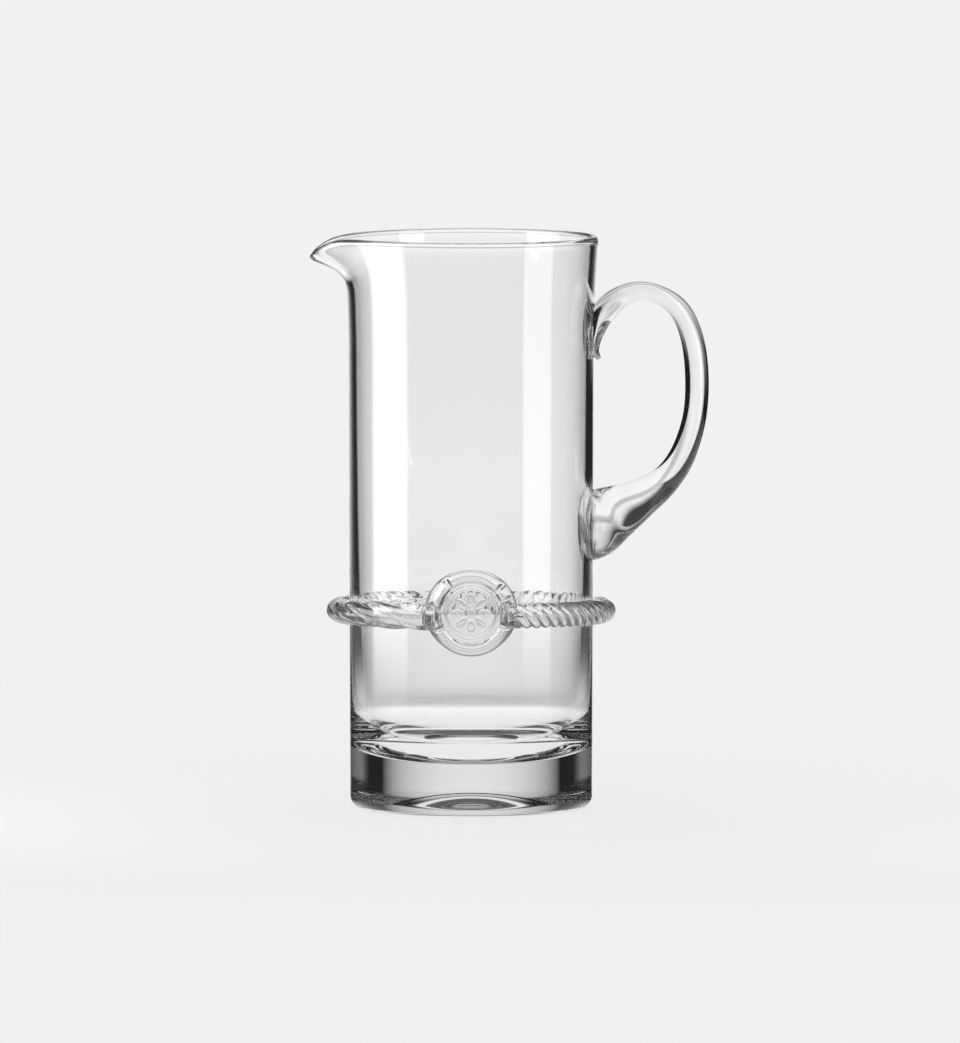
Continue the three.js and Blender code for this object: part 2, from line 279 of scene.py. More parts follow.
@dataclass
class Vessel:
    """The blown body: thick base with a shallow punt, straight wall, flared lip and pulled spout."""

    height: float = 240.0
    foot_radius: float = 51.0
    taper: float = 0.6
    wall: float = 3.0
    rim_height: float = 2.2
    lip_flare: float = 2.0
    lip_height: float = 50.0
    floor: float = 19.5
    swell: float = 5.0
    swell_height: float = 45.0
    corner_height: float = 24.5
    corner_squareness: float = 3.1
    foot_inset: float = 4.5
    foot_round: float = 4.5
    punt_radius: float = 43.5
    punt_depth: float = 1.0
    pontil_radius: float = 24.0
    pontil_depth: float = 6.0
    spout_height: float = 25.0
    spout_lip: float = 6.8
    spout_lean: float = math.radians(67.0)
    spout_half_angle: float = math.radians(12.5)
    spout_end_angle: float = math.radians(85.0)
    columns: int = 288
    crowding: float = 0.5
    bend_steps: int = 24
    middle_hole: float = 0.3
    punt_rows: int = 60
    foot_rows: int = 24
    outside_rows: int = 70
    outside_crowding: float = 1.6
    rim_rows: int = 25
    inside_rows: int = 84
    corner_rows: int = 80

    def wall_radius(self, z: Array) -> Array:
        """Outside radius at a height: the foot's radius, an even taper, and a flare that grows as a square.

        Args:
            z: Heights above the table.

        Returns:
            Radii about the body's axis.
        """
        lip = np.clip((z - (self.height - self.lip_height)) / self.lip_height, 0.0, 1.0)
        return self.foot_radius + self.taper * z / self.height + self.lip_flare * lip**2

    def place(self) -> Array:
        """Where the body's axis meets the table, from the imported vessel's box, in metres."""
        low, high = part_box("vessel")
        rim = float(self.wall_radius(np.array(self.height))) * MM
        return np.array([high.x - rim, (low.y + high.y) / 2, 0.0])

    def inside_radius(self, z: Array) -> Array:
        """Radius of the cavity at a height: the outside less the wall, less what it gains towards the base.

        The wall swells by an exponential downwards.

        Args:
            z: Heights above the table.

        Returns:
            Radii about the body's axis.
        """
        swell = self.swell * np.exp(-(z - self.floor) / self.swell_height)
        return self.wall_radius(z) - self.wall - swell

    def underside_height(self, radius: Array) -> Array:
        """Height of the underside at a radius: a wide shallow dome with the small polished pontil dome in it.

        Both domes fall with the square of the radius, down to the ring that the vessel stands on.

        Args:
            radius: Radii about the body's axis.

        Returns:
            Heights above the table.
        """
        dome = self.punt_depth * np.clip(1 - (radius / self.punt_radius) ** 2, 0.0, 1.0)
        pontil = self.pontil_depth * np.clip(1 - (radius / self.pontil_radius) ** 2, 0.0, 1.0)
        return dome + pontil

    def profile(self) -> Array:
        """Half section from the punt round the rim to the cavity's floor: arcs joined by the wall's faces.

        The corner of the floor is a superellipse, whose two shares to the power of the squareness add to one.
        Rows crowd towards the rim and the middle of the floor by powers of the share that is left.

        Returns:
            Radius and height of each row.
        """
        quarter = math.pi / 2
        spread = np.linspace(self.middle_hole, self.punt_radius, self.punt_rows)
        punt = np.column_stack([spread, self.underside_height(spread)])
        foot = arc(
            (self.foot_radius - self.foot_inset, self.foot_round),
            (self.foot_inset, self.foot_round),
            -quarter,
            0.0,
            self.foot_rows,
        )
        corner = self.floor + self.corner_height
        rim_round = self.wall / 2
        rim_base = self.height - self.rim_height
        share = 1 - (1 - np.linspace(0.0, 1.0, self.outside_rows)) ** self.outside_crowding
        heights = self.foot_round + (rim_base - self.foot_round) * share
        outside = np.column_stack([self.wall_radius(heights), heights])[1:]
        rim_middle = float(self.wall_radius(np.array(rim_base))) - rim_round
        rim = arc((rim_middle, rim_base), (rim_round, self.rim_height), 0.0, math.pi, self.rim_rows)[1:-1]
        heights = np.linspace(corner, rim_base, self.inside_rows)
        inside = np.column_stack([self.inside_radius(heights), heights])[::-1]
        turn = quarter * (1 - (1 - np.linspace(0.0, 1.0, self.corner_rows)) ** 2)[1:-1]
        power = 2 / self.corner_squareness
        heights = corner - self.corner_height * np.sin(turn) ** power
        bottom = np.column_stack([self.inside_radius(heights) * np.cos(turn) ** power, heights])
        return np.vstack([punt, foot, outside, rim, inside, bottom])

    def pull(self, angle: Array) -> Array:
        """Share of the spout's lean round the rim: a bell, one over one plus the square, faded to none.

        Args:
            angle: Angles from the middle of the spout, in radians.

        Returns:
            Shares from 0 to 1.
        """
        bell = 1.0 / (1.0 + (angle / self.spout_half_angle) ** 2)
        return bell * (1.0 - smooth(np.abs(angle), 0.0, self.spout_end_angle))

    def rings(self) -> Array:
        """The profile turned about the axis, with the wall bent outwards at the spout.

        The middle of the wall keeps its length. Its lean grows by a smooth step, and the sums of the lean's
        sine and cosine along it give how far it goes out and up. The two faces stay square to it.

        Returns:
            Points of shape (rows, columns, 3).
        """
        profile = self.profile()
        radius, height = profile[:, 0], profile[:, 1]
        even = np.linspace(-math.pi, math.pi, self.columns, endpoint=False)
        angle = even - self.crowding * np.sin(even)
        start = self.height - self.spout_height
        bend = self.spout_height - self.spout_lip
        length = np.maximum(height - start, 0.0)
        lean = self.spout_lean * self.pull(angle)
        along = ((np.arange(self.bend_steps) + 0.5) / self.bend_steps)[:, None] * length
        tilt = smooth(along, 0.0, bend)[:, :, None] * lean
        out = np.sin(tilt).mean(axis=0) * length[:, None]
        up = np.cos(tilt).mean(axis=0) * length[:, None]
        tilt = smooth(length, 0.0, bend)[:, None] * lean
        middle = self.wall_radius(height) - self.wall / 2
        offset = (radius - middle)[:, None]
        bent = length[:, None] > 0
        far = np.where(bent, middle[:, None] + out + offset * np.cos(tilt), radius[:, None])
        high = np.where(bent, start + up - offset * np.sin(tilt), height[:, None])
        return np.stack([-far * np.cos(angle), far * np.sin(angle), high], axis=-1)

    def press(self, points: Array, sink: float) -> Array:
        """Moves points that lie deeper than sink in the wall straight out to that depth.

        Args:
            points: Points of any shape ending in 3.
            sink: Depth under the wall's outer face, so that the two glasses are fused.

        Returns:
            The moved points.
        """
        radius = np.hypot(points[..., 0], points[..., 1])
        seat = self.wall_radius(points[..., 2]) - sink
        scale = np.maximum(seat / np.maximum(radius, 1e-6), 1.0)
        return points * np.stack([scale, scale, np.ones_like(scale)], axis=-1)

    def build(self) -> bpy.types.Object:
        """Makes the vessel's mesh."""
        return closed_mesh("vessel_glass", self.rings(), self.place())


@dataclass
class Handle:
    """The pulled loop: a thick foot low on the wall, a slim grip, and an upper end pressed on the wall."""

    vessel: Vessel
    low: float = 120.0
    below_rim: float = 37.0
    reach: float = 43.2
    thickness: float = 10.0
    width: float = 13.5
    foot_thickness: float = 30.0
    foot_width: float = 26.0
    pad_width: float = 21.0
    pad_thickness: float = 10.5
    squareness: float = 2.0
    sink: float = 0.25
    steps: int = 220
    sides: int = 64
    foot_rows: int = 8
    tail_rows: int = 4

    def stations(self) -> Array:
        """Places along the loop, lower foot first.

        Returns:
            One row each: share of the reach out, share of the rise up, thickness and width.
        """
        grip, wide = self.thickness, self.width
        return np.array([
            (-0.2, -0.03, self.foot_thickness, self.foot_width),
            (0.0, -0.01, self.foot_thickness, self.foot_width),
            (0.2, 0.04, 0.8 * self.foot_thickness, 0.75 * self.foot_width),
            (0.43, 0.108, 1.78 * grip, 1.45 * wide),
            (0.68, 0.2, 1.3 * grip, 1.15 * wide),
            (0.86, 0.33, 1.1 * grip, 1.05 * wide),
            (0.98, 0.53, grip, wide),
            (1.0, 0.75, grip, wide),
            (0.94, 0.95, 0.96 * grip, wide),
            (0.79, 1.09, 0.86 * grip, wide),
            (0.52, 1.163, 0.78 * grip, 1.05 * wide),
            (0.27, 1.143, 0.9 * grip, 1.2 * wide),
            (0.08, 1.055, self.pad_thickness, self.pad_width),
            (0.01, 0.95, 0.7 * self.pad_thickness, self.pad_width),
            (0.005, 0.87, 0.4 * self.pad_thickness, 0.7 * self.pad_width),
            (0.05, 0.825, 0.2 * self.pad_thickness, 0.5 * self.pad_width),
        ])

    def rings(self) -> Array:
        """Superellipse sections carried along a curve through the stations, with both ends laid on the wall.

        Returns:
            Points of shape (rows, columns, 3).
        """
        stations = self.stations()
        rise = self.vessel.height - self.below_rim - self.low
        z = self.low + stations[:, 1] * rise
        path = np.column_stack([self.vessel.wall_radius(z) + stations[:, 0] * self.reach, z])
        t = np.linspace(0.0, 1.0, self.steps)
        middle = curve_through(path, t)
        thick, wide = curve_through(stations[:, 2:], t).T
        along = np.gradient(middle, axis=0)
        along /= np.linalg.norm(along, axis=1, keepdims=True)
        angle = np.linspace(0.0, 2 * math.pi, self.sides, endpoint=False)
        power = 2 / self.squareness
        across = np.sign(np.cos(angle)) * np.abs(np.cos(angle)) ** power / 2
        aside = np.sign(np.sin(angle)) * np.abs(np.sin(angle)) ** power / 2
        reach = thick[:, None] * across
        rings = np.stack([
            middle[:, :1] + along[:, 1:] * reach,
            wide[:, None] * aside,
            middle[:, 1:] - along[:, :1] * reach,
        ], axis=-1)
        foot = shrinking_rings(rings[0], self.foot_rows)
        tail = shrinking_rings(rings[-1], self.tail_rows)[::-1]
        rings = np.concatenate([foot, rings, tail])
        return self.vessel.press(rings, self.sink)

    def build(self) -> bpy.types.Object:
        """Makes the handle's mesh."""
        return closed_mesh("handle_glass", self.rings(), self.vessel.place())


@dataclass
class Seal:
    """The stamped gather over the rope's joint: a flat face with a plain rosette, in a squeezed-out roll."""

    vessel: Vessel
    height: float = 86.0
    radius: float = 18.3
    face_radius: float = 12.2
    thickness: float = 5.0
    roll: float = 2.0
    roll_half_turns: tuple[float, float] = (0.9, -0.15)
    roll_clearance: float = 0.05
    relief: float = 0.45
    ring_radius: float = 10.5
    ring_width: float = 0.42
    ring_share: float = 0.8
    petals: int = 8
    petal_middle: float = 5.6
    petal_half: tuple[float, float] = (2.7, 1.5)
    boss_radius: float = 1.9
    notches: tuple[float, ...] = (20.0, 41.0, 128.0, 172.0, 207.0, 338.0)
    notch_width: float = 3.5
    notch_depth: float = 1.9
    lump: float = 0.55
    lumps: int = 7
    lump_start: float = 1.0
    back_depth: float = 4.0
    sink: float = 0.25
    columns: int = 480
    middle_hole: float = 0.3
    face_rows: int = 60
    roll_rows: int = 46
    skirt_rows: int = 3
    back_rows: int = 23

    def relief_height(self, spread: Array, angle: Array) -> Array:
        """Height of the stamp's relief: a thin ring with domed oval petals and a domed boss inside it.

        The ring is a bell across its width. A dome's height is the square root of one minus the squared
        distance from its middle, in half axes.

        Args:
            spread: Distance from the seal's middle.
            angle: Angle round it.

        Returns:
            Heights above the flat face.
        """
        ring = self.ring_share * np.exp(-(((spread - self.ring_radius) / self.ring_width) ** 2))
        sector = 2 * math.pi / self.petals
        folded = (angle + sector / 2) % sector - sector / 2
        along = (spread * np.cos(folded) - self.petal_middle) / self.petal_half[0]
        aside = spread * np.sin(folded) / self.petal_half[1]
        petal = np.sqrt(np.clip(1 - along**2 - aside**2, 0.0, 1.0))
        boss = np.sqrt(np.clip(1 - (spread / self.boss_radius) ** 2, 0.0, 1.0))
        return self.relief * np.maximum(np.maximum(ring, petal), boss)

    def notch_share(self, angle: Array) -> Array:
        """How deep the roll is nicked at an angle: a bell round each place where the glass parted.

        Args:
            angle: Angles round the seal, in radians.

        Returns:
            Shares from 0 to 1.
        """
        turns = np.degrees(angle)[:, None] - np.array(self.notches)
        near = (turns + 180.0) % 360.0 - 180.0
        return np.exp(-((near / self.notch_width) ** 2)).max(axis=1)

    def rings(self) -> Array:
        """Rings from the middle of the face out over the roll and back along the wall.

        The roll is half an ellipse standing on the face's edge. Its height wavers by a sine round the seal,
        most at the two sides, where the rope's ends go under it, and it drapes back over the wall's curve.

        Returns:
            Points of shape (rows, columns, 3).
        """
        wall = float(self.vessel.wall_radius(np.array(self.height)))
        angle = np.linspace(0.0, 2 * math.pi, self.columns, endpoint=False)
        face_spread = np.linspace(self.middle_hole, self.face_radius, self.face_rows)
        first, last = self.roll_half_turns
        roll_turn = np.linspace(first * math.pi, last * math.pi, self.roll_rows)
        half = (self.radius - self.face_radius) / 2
        tall = self.roll + self.thickness / 2
        roll_spread = self.face_radius + half + half * np.cos(roll_turn)
        roll_lift = self.roll - tall + tall * np.sin(roll_turn)
        keep = (roll_lift > self.roll_clearance) | (roll_turn < math.pi / 2)
        edge, deep = roll_spread[-1], -self.thickness - self.back_depth
        skirt_spread = np.full(self.skirt_rows, edge)
        skirt_lift = np.linspace(roll_lift[-1], deep, self.skirt_rows + 1)[1:]
        back_spread = np.linspace(edge, self.middle_hole, self.back_rows + 1)[1:]
        back_lift = np.full(self.back_rows, deep)
        no_face, no_back = np.zeros(self.face_rows), np.zeros(self.skirt_rows + self.back_rows)
        spread = np.concatenate([face_spread, roll_spread[keep], skirt_spread, back_spread])[:, None]
        lift = np.concatenate([no_face, roll_lift[keep], skirt_lift, back_lift])[:, None]
        on_face = (np.arange(len(spread)) < self.face_rows)[:, None]
        lift = lift + np.where(on_face, self.relief_height(spread, angle), 0.0)
        on_roll = np.concatenate([no_face, np.clip(np.sin(roll_turn[keep]), 0.0, 1.0), no_back])[:, None]
        lumps = self.lump * np.cos(angle) ** 2 * np.sin(self.lumps * angle + self.lump_start)
        lift = lift + on_roll * (lumps - self.notch_depth * self.notch_share(angle))
        x, up = spread * np.cos(angle), spread * np.sin(angle)
        sag = wall - np.sqrt(wall**2 - x**2)
        lift = lift - sag * smooth(spread, self.face_radius, self.radius)
        front = wall + self.thickness + lift
        return self.vessel.press(np.stack([x, -front, self.height + up], axis=-1), self.sink)

    def build(self) -> bpy.types.Object:
        """Makes the seal's mesh."""
        return closed_mesh("seal_glass", self.rings(), self.vessel.place())


@dataclass
class RopeBand:
    """The ribbed cane laid round the body, twisted loosely at the spout's side and tightly at the other."""

    vessel: Vessel
    seal: Seal
    height: float = 79.8
    front_rise: float = 4.8
    radius: float = 5.3
    press_depth: float = 1.3
    ribs: int = 5
    rib_depth: float = 0.9
    swell: float = 0.8
    swells: float = 9.0
    swell_lag: float = 2.4
    loose_pitch: float = 95.0
    tight_pitch: float = 22.0
    tuck: float = 4.0
    sink: float = 0.25
    steps: int = 720
    points_per_rib: int = 9

    def twist(self, share: Array, length: float) -> Array:
        """Turn of the ribs along the cane: the sum of a twist rate that grows from loose to tight.

        The rate grows by three times the squared share less twice its cube, a smooth step.

        Args:
            share: Places along the cane, 0 to 1.
            length: Length of the cane.

        Returns:
            Turns in radians.
        """
        loose = 2 * math.pi * length / self.loose_pitch
        tight = 2 * math.pi * length / self.tight_pitch
        return loose * share + (tight - loose) * (share**3 - share**4 / 2)

    def rings(self) -> Array:
        """A section of round ribs with sharp grooves, carried round the body and flattened on the wall.

        A rib's radius falls with the square of the distance from its crest, so two ribs meet in a crease. The
        crests swell and sink by a sine along the cane, each rib in its own time, most in the loose half.

        Returns:
            Points of shape (rows, columns, 3).
        """
        ring = float(self.vessel.wall_radius(np.array(self.height))) + self.radius - self.press_depth
        start = math.asin((self.seal.radius - self.tuck) / ring)
        share = np.linspace(0.0, 1.0, self.steps)
        turn = start + (2 * math.pi - 2 * start) * share
        length = ring * 2 * (math.pi - start)
        sides = self.ribs * self.points_per_rib
        rib = np.arange(sides) / self.points_per_rib
        crest = np.abs(2 * (rib % 1.0) - 1.0)
        beat = np.sin(2 * math.pi * self.swells * share[:, None] + self.swell_lag * np.floor(rib))
        uneven = self.swell * (1 - share[:, None]) * beat
        radius = self.radius - self.rib_depth * crest**2 + uneven * (1 - crest**2)
        angle = 2 * math.pi * rib / self.ribs + self.twist(share, length)[:, None]
        far = ring + radius * np.cos(angle)
        middle = self.height + self.front_rise * (1 + np.cos(turn)) / 2
        points = np.stack([
            -np.sin(turn)[:, None] * far,
            -np.cos(turn)[:, None] * far,
            middle[:, None] + radius * np.sin(angle),
        ], axis=-1)
        return self.vessel.press(points, self.sink)

    def build(self) -> bpy.types.Object:
        """Makes the rope band's mesh."""
        return closed_mesh("rope_band_glass", self.rings(), self.vessel.place())


class Shows(Enum):
    """Where a studio panel shows, as the output of the Light Path node that sees it.

    The panel shows in gloss, in light that was mirrored on its way, or straight through one solid piece of
    glass, such as the handle, whose light has crossed two faces.
    """

    IN_GLOSS = "Is Reflection Ray"
    MIRRORED = "Glossy Depth"
    THROUGH_ONE_PIECE = "Transmission Depth"


@dataclass
class Panel:
    """An upright softbox or dark card of the studio, which shows only in its own kind of light.

    Its edges are measured from the body's axis and the table, in metres.
    """

    name: str
    distance: float
    facing: float
    low: float
    high: float
    level: float
    shows: Shows
    side_fade: float = 0.025
    bottom: float = -0.005
    top: float = 0.5
    bottom_fade: float = 0.07
    top_fade: float = 0.05
    crossed_faces: float = 2.0

    def material(self, place: Array) -> bpy.types.Material:
        """A glow that fades at the panel's edges, clear to every other ray.

        Args:
            place: Where the body's axis meets the table.

        Returns:
            The material.
        """
        material = bpy.data.materials.new(self.name)
        material.use_nodes = True
        tree = material.node_tree
        tree.nodes.clear()
        point = add_node(tree, "ShaderNodeTexCoord")
        turn = add_node(
            tree,
            "ShaderNodeMapping",
            {"vector_type": "TEXTURE"},
            Vector=point.outputs["Object"],
            Location=tuple(place),
            Rotation=(0.0, 0.0, self.facing),
        )
        axes = add_node(tree, "ShaderNodeSeparateXYZ", Vector=turn.outputs[0])
        edges = [
            (axes.outputs[0], self.low, self.low + self.side_fade),
            (axes.outputs[0], self.high, self.high - self.side_fade),
            (axes.outputs[2], self.bottom, self.bottom + self.bottom_fade),
            (axes.outputs[2], self.top, self.top - self.top_fade),
        ]
        cover = 1.0
        smoothly = {"interpolation_type": "SMOOTHSTEP"}
        for socket, none, full in edges:
            edge = add_node(tree, "ShaderNodeMapRange", smoothly, i0=socket, i1=none, i2=full)
            both = add_node(tree, "ShaderNodeMath", {"operation": "MULTIPLY"}, i0=edge.outputs[0], i1=cover)
            cover = both.outputs[0]
        ray = add_node(tree, "ShaderNodeLightPath")
        glow = add_node(tree, "ShaderNodeEmission", Strength=self.level)
        seen = ray.outputs[self.shows.value]
        if self.shows is Shows.THROUGH_ONE_PIECE:
            faces = add_node(
                tree, "ShaderNodeMath", {"operation": "COMPARE"}, i0=seen, i1=self.crossed_faces, i2=0.5
            )
            seen = faces.outputs[0]
        shown = add_node(tree, "ShaderNodeMath", {"operation": "MULTIPLY"}, i0=seen, i1=cover)
        clear = add_node(tree, "ShaderNodeBsdfTransparent")
        mix = add_node(
            tree,
            "ShaderNodeMixShader",
            i0=shown.outputs[0],
            i1=clear.outputs[0],
            i2=glow.outputs[0],
        )
        add_node(tree, "ShaderNodeOutputMaterial", Surface=mix.outputs[0])
        return material

    def build(self, place: Array) -> bpy.types.Object:
        """A flat upright sheet at its distance from the axis, facing it.

        Args:
            place: Where the body's axis meets the table.

        Returns:
            The new object.
        """
        across = np.array([math.cos(self.facing), math.sin(self.facing)])
        away = np.array([-math.sin(self.facing), math.cos(self.facing)])
        side = np.array([self.low, self.high, self.high, self.low])[:, None]
        points = np.column_stack([
            side * across + self.distance * away + place[:2],
            [self.bottom, self.bottom, self.top, self.top],
        ])
        mesh = bpy.data.meshes.new(self.name)
        mesh.from_pydata(points, [], [(0, 1, 2, 3)])
        sheet = bpy.data.objects.new(self.name, mesh)
        bpy.context.scene.collection.objects.link(sheet)
        mesh.materials.append(self.material(place))
        return sheet


@dataclass
class Studio:
    """Pale floor and backdrop, panels and cards round the glass, and the camera.

    Angles are in degrees. The pairs are where a smooth step starts and ends: over the angle from the line of
    sight for the gaps, the sides and the mirrored way, and over the height of a direction for the rest. The
    sky gives a level for each elevation that gloss and glass see.
    """

    vessel: Vessel
    frame_px: tuple[int, int] = (960, 1043)
    axis_px: float = 471.2
    base_px: float = 805.7
    mm_per_px: float = 0.42
    camera_distance: float = 6.0
    elevation: float = math.radians(4.65)
    sensor_mm: float = 36.0
    backdrop: str = "#f1f1f1"
    floor_radius: float = 0.7
    floor_solid: float = 0.25
    floor_drop: float = 0.0002
    floor_sides: int = 96
    floor_glow: float = 0.75
    lobe_narrowness: float = 1.8
    gap: tuple[float, float] = (46.0, 58.0)
    gap_level: float = 0.26
    high_gap_level: float = 0.05
    darkest: float = 0.02
    table_edge: tuple[float, float] = (-0.092, -0.085)
    sides: tuple[float, float] = (76.0, 90.0)
    sides_level: float = 0.9
    mirrored_way: tuple[float, float] = (18.0, 8.0)
    open_below: tuple[float, float] = (-0.17, -0.24)
    open_above: tuple[float, float] = (0.6, 0.8)
    glass_bounces: int = 200
    clear_bounces: int = 32
    sky: tuple[tuple[float, float], ...] = (
        (-90.0, 0.97),
        (-30.0, 0.97),
        (-18.0, 1.02),
        (-14.5, 0.62),
        (-11.0, 0.6),
        (-9.5, 0.72),
        (-8.0, 0.87),
        (-7.0, 0.95),
        (-5.0, 0.99),
        (-3.8, 0.93),
        (-3.0, 0.91),
        (1.0, 0.87),
        (25.0, 0.8),
        (45.0, 0.1),
        (60.0, 0.15),
        (90.0, 0.15),
    )

    def panels(self) -> list[Panel]:
        """A softbox at each side, cards that give the handle its dark edges, and one for the base."""
        quarter = math.pi / 2
        return [
            Panel(
                "softbox_spout_side",
                distance=0.357,
                facing=quarter,
                low=-0.235,
                high=0.085,
                level=5.0,
                shows=Shows.IN_GLOSS,
                side_fade=0.045,
            ),
            Panel(
                "softbox_handle_side",
                distance=0.357,
                facing=-quarter,
                low=0.08,
                high=0.34,
                level=3.6,
                shows=Shows.IN_GLOSS,
            ),
            Panel(
                "card_outside_grip",
                distance=0.06,
                facing=0.0,
                low=0.112,
                high=0.25,
                level=0.01,
                shows=Shows.THROUGH_ONE_PIECE,
                side_fade=0.004,
                bottom=0.06,
                top=0.24,
                bottom_fade=0.03,
                top_fade=0.06,
            ),
            Panel(
                "card_inside_grip",
                distance=0.06,
                facing=0.0,
                low=0.04,
                high=0.077,
                level=0.01,
                shows=Shows.THROUGH_ONE_PIECE,
                side_fade=0.004,
                bottom=0.123,
                top=0.205,
                bottom_fade=0.01,
                top_fade=0.04,
            ),
            Panel(
                "card_behind_base",
                distance=0.15,
                facing=0.0,
                low=-0.05,
                high=0.05,
                level=0.02,
                shows=Shows.MIRRORED,
                side_fade=0.01,
                bottom=0.012,
                top=0.055,
                bottom_fade=0.003,
                top_fade=0.01,
            ),
        ]

    def camera(self) -> None:
        """A long lens at the photograph's height, aimed so that the body's axis falls where it does there."""
        place = self.vessel.place()
        data = bpy.data.cameras.new("camera")
        data.sensor_width = self.sensor_mm
        data.clip_end = 100.0
        frame_height = self.frame_px[1] * self.mm_per_px * MM
        data.lens = self.sensor_mm * self.camera_distance / frame_height
        camera = bpy.data.objects.new("camera", data)
        right = (self.frame_px[0] / 2 - self.axis_px) * self.mm_per_px * MM
        up = (self.base_px - self.frame_px[1] / 2) * self.mm_per_px * MM / math.cos(self.elevation)
        back = self.camera_distance * math.cos(self.elevation)
        high = self.camera_distance * math.sin(self.elevation)
        camera.location = (place[0] + right, place[1] - back, up + high)
        camera.rotation_euler = (math.pi / 2 - self.elevation, 0.0, 0.0)
        bpy.context.scene.collection.objects.link(camera)
        bpy.context.scene.camera = camera

    def sky_level(self, tree: bpy.types.NodeTree, z: bpy.types.NodeSocket) -> bpy.types.NodeSocket:
        """Light by elevation: a ramp over half of one plus the direction's height, through the sky's levels.

        Args:
            tree: The world's nodes.
            z: Height of the direction, from -1 to 1.

        Returns:
            The level of light.
        """
        share = add_node(tree, "ShaderNodeMath", {"operation": "MULTIPLY_ADD"}, i0=z, i1=0.5, i2=0.5)
        ramp = add_node(tree, "ShaderNodeValToRGB", Fac=share.outputs[0])
        brightest = max(level for _, level in self.sky)
        stops = ramp.color_ramp.elements
        while len(stops) < len(self.sky):
            stops.new(0.5)
        for stop, (elevation, level) in zip(stops, self.sky):
            stop.position = 0.5 + 0.5 * math.sin(math.radians(elevation))
            stop.color = (level / brightest,) * 3 + (1.0,)
        scaled = add_node(tree, "ShaderNodeMath", {"operation": "MULTIPLY"}, i0=ramp.outputs[0], i1=brightest)
        return scaled.outputs[0]

    def bright_share(
        self, tree: bpy.types.NodeTree, axes: bpy.types.Node, mirrored: bpy.types.NodeSocket
    ) -> bpy.types.NodeSocket:
        """How much of the sky shows by the angle from the line of sight, fore and aft alike.

        One minus a number times the squared slope of the direction gives a wide bright way. Beside it are
        gaps, darker above the table's edge than below it, and then the bright sides. Mirrored light sees only
        a narrow way. Well below and well above the horizon everything shows.

        Args:
            tree: The world's nodes.
            axes: Node with the direction's x, y and z.
            mirrored: 1 for light that was mirrored in the glass.

        Returns:
            A share from 0 to 1.
        """
        x, y, z = axes.outputs
        smoothly = {"interpolation_type": "SMOOTHSTEP"}
        turn = add_node(tree, "ShaderNodeMath", {"operation": "ARCTAN2"}, i0=x, i1=y)
        angle = add_node(tree, "ShaderNodeMath", {"operation": "ABSOLUTE"}, i0=turn.outputs[0]).outputs[0]
        slope = add_node(tree, "ShaderNodeMath", {"operation": "TANGENT"}, i0=angle)
        square = add_node(tree, "ShaderNodeMath", {"operation": "POWER"}, i0=slope.outputs[0], i1=2.0)
        way = add_node(
            tree,
            "ShaderNodeMath",
            {"operation": "MULTIPLY_ADD", "use_clamp": True},
            i0=square.outputs[0],
            i1=-self.lobe_narrowness,
            i2=1.0,
        )
        low, high = self.table_edge
        dimness = add_node(
            tree,
            "ShaderNodeMapRange",
            smoothly,
            i0=z,
            i1=low,
            i2=high,
            i3=self.gap_level,
            i4=self.high_gap_level,
        )
        near, far = (math.radians(degrees) for degrees in self.gap)
        gap = add_node(
            tree,
            "ShaderNodeMapRange",
            smoothly,
            i0=angle,
            i1=near,
            i2=far,
            i3=self.darkest,
            i4=dimness.outputs[0],
        )
        near, far = (math.radians(degrees) for degrees in self.sides)
        sides = add_node(tree, "ShaderNodeMapRange", smoothly, i0=angle, i1=near, i2=far, i4=self.sides_level)
        wide = way
        for other in (sides, gap):
            brighter = {"operation": "MAXIMUM"}
            wide = add_node(tree, "ShaderNodeMath", brighter, i0=wide.outputs[0], i1=other.outputs[0])
        near, far = (math.radians(degrees) for degrees in self.mirrored_way)
        narrow = add_node(tree, "ShaderNodeMapRange", smoothly, i0=angle, i1=near, i2=far, i3=self.darkest)
        blend = {"data_type": "FLOAT"}
        shown = add_node(tree, "ShaderNodeMix", blend, i0=mirrored, i2=wide.outputs[0], i3=narrow.outputs[0])
        for start, end in (self.open_below, self.open_above):
            opening = add_node(tree, "ShaderNodeMapRange", smoothly, i0=z, i1=start, i2=end)
            shown = add_node(tree, "ShaderNodeMix", blend, i0=opening.outputs[0], i2=shown.outputs[0], i3=1.0)
        return shown.outputs[0]

